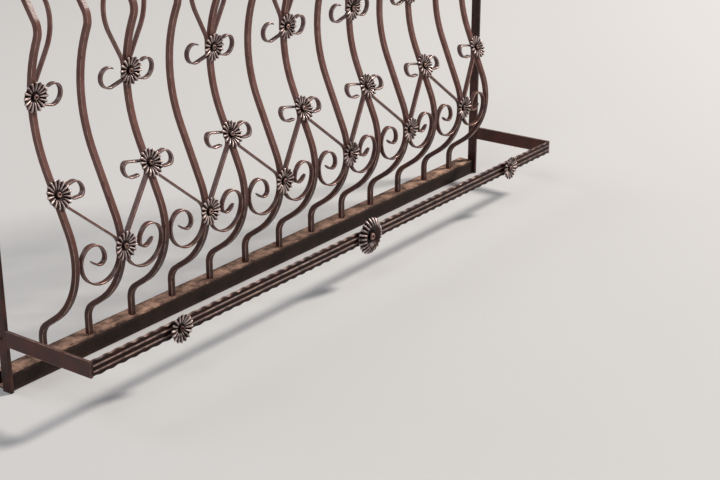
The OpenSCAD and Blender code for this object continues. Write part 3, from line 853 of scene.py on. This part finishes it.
# %% Settled dust
def settled_group():
    """Mask of the dust or rust that lies on faces that look up."""
    tree, start, end = group("settled_dust", [("Amount", "Float", 0.5), ("Scale", "Float", 40.0),
                                              ("Ragged", "Float", 0.5)], [("Mask", "Float", None)])
    up = node(tree, "SeparateXYZ", {0: node(tree, "NewGeometry").outputs["Normal"]}).outputs["Z"]
    grain = node(tree, "TexNoise", {"Vector": place_of(tree), "Scale": start.outputs["Scale"], "Detail": 6.0,
                                    "Roughness": 0.7}).outputs["Fac"]
    torn = node(tree, "Math", {0: grain, 1: 0.5}, operation="SUBTRACT")
    border = node(tree, "Math", {0: torn.outputs[0], 1: start.outputs["Ragged"], 2: up}, operation="MULTIPLY_ADD")
    facing = node(tree, "MapRange", {"Value": border.outputs[0], "From Min": 0.45, "From Max": 0.9},
                  interpolation_type="SMOOTHSTEP")
    patchy = node(tree, "MapRange", {"Value": grain, "From Min": 0.3, "From Max": 0.62})
    lying = node(tree, "Math", {0: facing.outputs["Result"], 1: patchy.outputs["Result"]}, operation="MULTIPLY")
    amount = node(tree, "Math", {0: lying.outputs[0], 1: start.outputs["Amount"]}, operation="MULTIPLY",
                  use_clamp=True)
    tree.links.new(amount.outputs[0], end.inputs["Mask"])
    return tree


keep("settled", settled_group())

# %% [markdown]
# A finish is mixed in this order: paint, sun fading with painted shade towards the foot, painted shade in the
# recesses, rubbed copper that also paints highlights, dust.
# The groups could be stacked as whole shaders too, but colours and masks that feed one Principled BSDF are lighter and
# can be exported. Its gloss and its metal stay in the material itself, on the shader's own sockets.

# %% Layers of a finish
RECESS_SHADE, DUST_ROUGHNESS, GLOSS_SPREAD = 0.15, 0.45, 0.12


def placed(tree, effect, **values):
    """One of the effects as a node in tree, with its sockets set."""
    made = tree.nodes.new("ShaderNodeGroup")
    made.node_tree = effects[effect]
    for key, value in values.items():
        made.inputs[key].default_value = value
    return made


def mixed(tree, mask, under, over):
    """Colour over laid on colour under where mask is 1."""
    made = node(tree, "Mix", {"Factor": mask}, data_type="RGBA")
    for socket, value in ((6, under), (7, over)):
        if isinstance(value, bpy.types.NodeSocket):
            tree.links.new(value, made.inputs[socket])
        else:
            made.inputs[socket].default_value = (*value, 1)
    return made.outputs[2]


def finish(name, dark, light, faded, copper, rub, dust, dust_colour, gloss, bump, shine=0.55, specular=0.26):
    """A material: paint from dark to light, paler where sun fading is painted and darker at the foot as painted shade,
    darker still in recesses as painted shade, rubbed with copper that also paints highlights, and dusted.
    """
    material = bpy.data.materials.new(name)
    material.use_nodes = True
    tree = material.node_tree
    shader = tree.nodes["Principled BSDF"]
    mottle = placed(tree, "mottle", Scale=26.0, Spread=0.22)
    # The rubbed mask: copper on edges and ridges, which also paints their highlights.
    rubbed = placed(tree, "rubbed", Amount=rub, Scale=55.0)
    settled = placed(tree, "settled", Amount=dust, Scale=35.0, Ragged=1.6)
    recess = node(tree, "Attribute", attribute_name="recess").outputs["Fac"]
    # The pale share: sun fading above, painted shade where it stays low on the foot and belly.
    sun_and_shade = node(tree, "Attribute", attribute_name="faded").outputs["Fac"]
    share = node(tree, "MapRange", {"Value": mottle.outputs["Mask"], "To Min": 1.0, "To Max": 0.45})
    sun_and_shade = node(tree, "Math", {0: sun_and_shade, 1: share.outputs["Result"]}, operation="MULTIPLY")
    colour = mixed(tree, mottle.outputs["Mask"], dark, light)
    colour = mixed(tree, sun_and_shade.outputs[0], colour, faded)
    # Painted shade: recesses, grooves, rosette backs and the rail's front bands go nearly black.
    colour = mixed(tree, recess, colour, tuple(c * RECESS_SHADE for c in dark))
    # Copper where rubbed, also a painted highlight; on the lower rail it is dark paint showing at worn edges.
    colour = mixed(tree, rubbed.outputs["Mask"], colour, copper)
    bare = node(tree, "Math", {0: 1.0, 1: rubbed.outputs["Mask"]}, operation="SUBTRACT")
    lying = node(tree, "Math", {0: settled.outputs["Mask"], 1: bare.outputs[0]}, operation="MULTIPLY")
    colour = mixed(tree, lying.outputs[0], colour, dust_colour)
    tree.links.new(colour, shader.inputs["Base Color"])
    metal = node(tree, "Math", {0: rubbed.outputs["Mask"], 1: shine}, operation="MULTIPLY")
    tree.links.new(metal.outputs[0], shader.inputs["Metallic"])
    rough = node(tree, "MapRange", {"Value": mottle.outputs["Mask"], "To Min": gloss, "To Max": gloss + GLOSS_SPREAD})
    dusty = node(tree, "Math", {0: lying.outputs[0], 1: DUST_ROUGHNESS, 2: rough.outputs["Result"]},
                 operation="MULTIPLY_ADD", use_clamp=True)
    tree.links.new(dusty.outputs[0], shader.inputs["Roughness"])
    relief = node(tree, "Bump", {"Height": mottle.outputs["Height"], "Strength": bump, "Distance": 0.0012})
    tree.links.new(relief.outputs["Normal"], shader.inputs["Normal"])
    shader.inputs["IOR"].default_value = 1.5
    # Less reflection where painted shade lies.
    sheen = node(tree, "MapRange", {"Value": recess, "To Min": specular, "To Max": RECESS_SHADE * specular})
    tree.links.new(sheen.outputs["Result"], shader.inputs["Specular IOR Level"])
    return material


print("layers of a finish share", len(effects), "node groups")

# %% [markdown]
# The bars' paint is dark brown with a reddish cast and a soft gloss, and its pale colour also stands for the light on
# the upper parts. On the rosettes and ears more copper shows, light enough to paint their highlights too, and on the
# lower rail rust and dust cover the upper face. One finish with painted masks could serve them all, but three sets of
# values for the same layers are easier to match with the real colours.

# %% The three finishes
finishes = {
    "dark_paint": finish(
        "dark_paint", dark=(0.018, 0.0080, 0.0068), light=(0.075, 0.023, 0.0150), faded=(0.205, 0.094, 0.078),
        copper=(0.62, 0.40, 0.34), rub=1.0, dust=0.15, dust_colour=(0.30, 0.20, 0.17), gloss=0.27, bump=0.5),
    "copper_rubbed_paint": finish(
        "copper_rubbed_paint", dark=(0.015, 0.0070, 0.0062), light=(0.055, 0.020, 0.015), faded=(0.150, 0.082, 0.072),
        copper=(0.76, 0.60, 0.56), rub=1.0, dust=0.12, dust_colour=(0.34, 0.24, 0.20), gloss=0.27, bump=0.5),
    "weathered_rail": finish(
        "weathered_rail", dark=(0.010, 0.006, 0.005), light=(0.026, 0.014, 0.010), faded=(0.06, 0.03, 0.02),
        copper=(0.050, 0.026, 0.020), rub=1.0, dust=1.0, dust_colour=(0.58, 0.35, 0.25), gloss=0.5, bump=0.8,
        shine=0.0, specular=0.12),
}
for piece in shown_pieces():
    wanted = piece.get("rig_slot") or next(
        (s["material_slot"] for s in frame["record"]["subparts"] if s["node"] == piece.name), "dark_paint")
    piece.data.materials.clear()
    piece.data.materials.append(finishes[wanted])
print("finishes:", list(finishes))

# %% [markdown]
# The stage is a plain pale floor at the height of the balcony's foot. It could be left out, but the light that it
# throws back up is part of how the undersides look.

# %% Floor
bpy.ops.mesh.primitive_plane_add(size=30, location=(0, 0, 0))
floor = bpy.context.object
floor.name = "floor"
pale = bpy.data.materials.new("pale_floor")
pale.use_nodes = True
pale.node_tree.nodes["Principled BSDF"].inputs["Base Color"].default_value = (0.54, 0.53, 0.52, 1)
pale.node_tree.nodes["Principled BSDF"].inputs["Roughness"].default_value = 0.9
floor.data.materials.append(pale)
print("floor:", tuple(floor.dimensions))

# %% [markdown]
# A broad lamp high on the right and towards the street gives the bars a lit street face and a darker left face, a wide
# dim one on the left opens the shade, and a weak one behind shows the back. All stand far off, so their light hardly
# changes from one end of the balcony to the other. A sun lamp would be more even still, but its shadows would be as
# hard as at noon.

# %% Light
AIM = (0, 0, 0.3)


def lamp(name, place, size, watts, colour):
    """A round area lamp at place that shines towards the middle of the balcony."""
    data = bpy.data.lights.new(name, "AREA")
    data.shape, data.size, data.energy, data.color = "DISK", size, watts, colour
    made = bpy.data.objects.new(name, data)
    made.location = place
    made.rotation_euler = (Vector(AIM) - Vector(place)).to_track_quat("-Z", "Y").to_euler()
    bpy.context.scene.collection.objects.link(made)


lamp("sun_side", place=(9.7, -5.5, 8.7), size=2.5, watts=2450, colour=(1.0, 0.95, 0.89))
lamp("open_sky", place=(-6.0, -2.3, 7.5), size=5.5, watts=280, colour=(0.92, 0.95, 1.0))
lamp("from_behind", place=(-3.0, 8.0, 6.0), size=5.0, watts=220, colour=(0.95, 0.97, 1.0))
world = bpy.data.worlds.new("even_sky")
world.use_nodes = True
world.node_tree.nodes["Background"].inputs["Color"].default_value = (0.93, 0.95, 1.0, 1)
world.node_tree.nodes["Background"].inputs["Strength"].default_value = 0.22
bpy.context.scene.world = world
bpy.context.scene.view_settings.view_transform = "Standard"
print("lamps:", [light.name for light in bpy.data.lights])

# %% [markdown]
# The camera looks down on the balcony from the left, as in the photograph. It could be placed by eye, but its lens,
# place and turn were worked out from points on the bars, rails and rosettes, so that each piece can be compared with
# the photograph in its own spot. The shift moves the picture by half a pixel.

# %% Camera
PICTURE_W = 720
eye = bpy.data.cameras.new("eye")
eye.lens, eye.sensor_width = 72.026, 36
eye.shift_x, eye.shift_y = -0.5 / PICTURE_W, 0.5 / PICTURE_W
camera = bpy.data.objects.new("eye", eye)
camera.location = (-2.5996, -2.1661, 1.3495)
camera.rotation_euler = (math.radians(69.024), math.radians(0.086), math.radians(-53.695))
bpy.context.scene.collection.objects.link(camera)
bpy.context.scene.camera = camera
print("camera:", camera.name, "lens:", round(eye.lens, 3))

# %% [markdown]

# %% The end
bpy.context.view_layer.update()
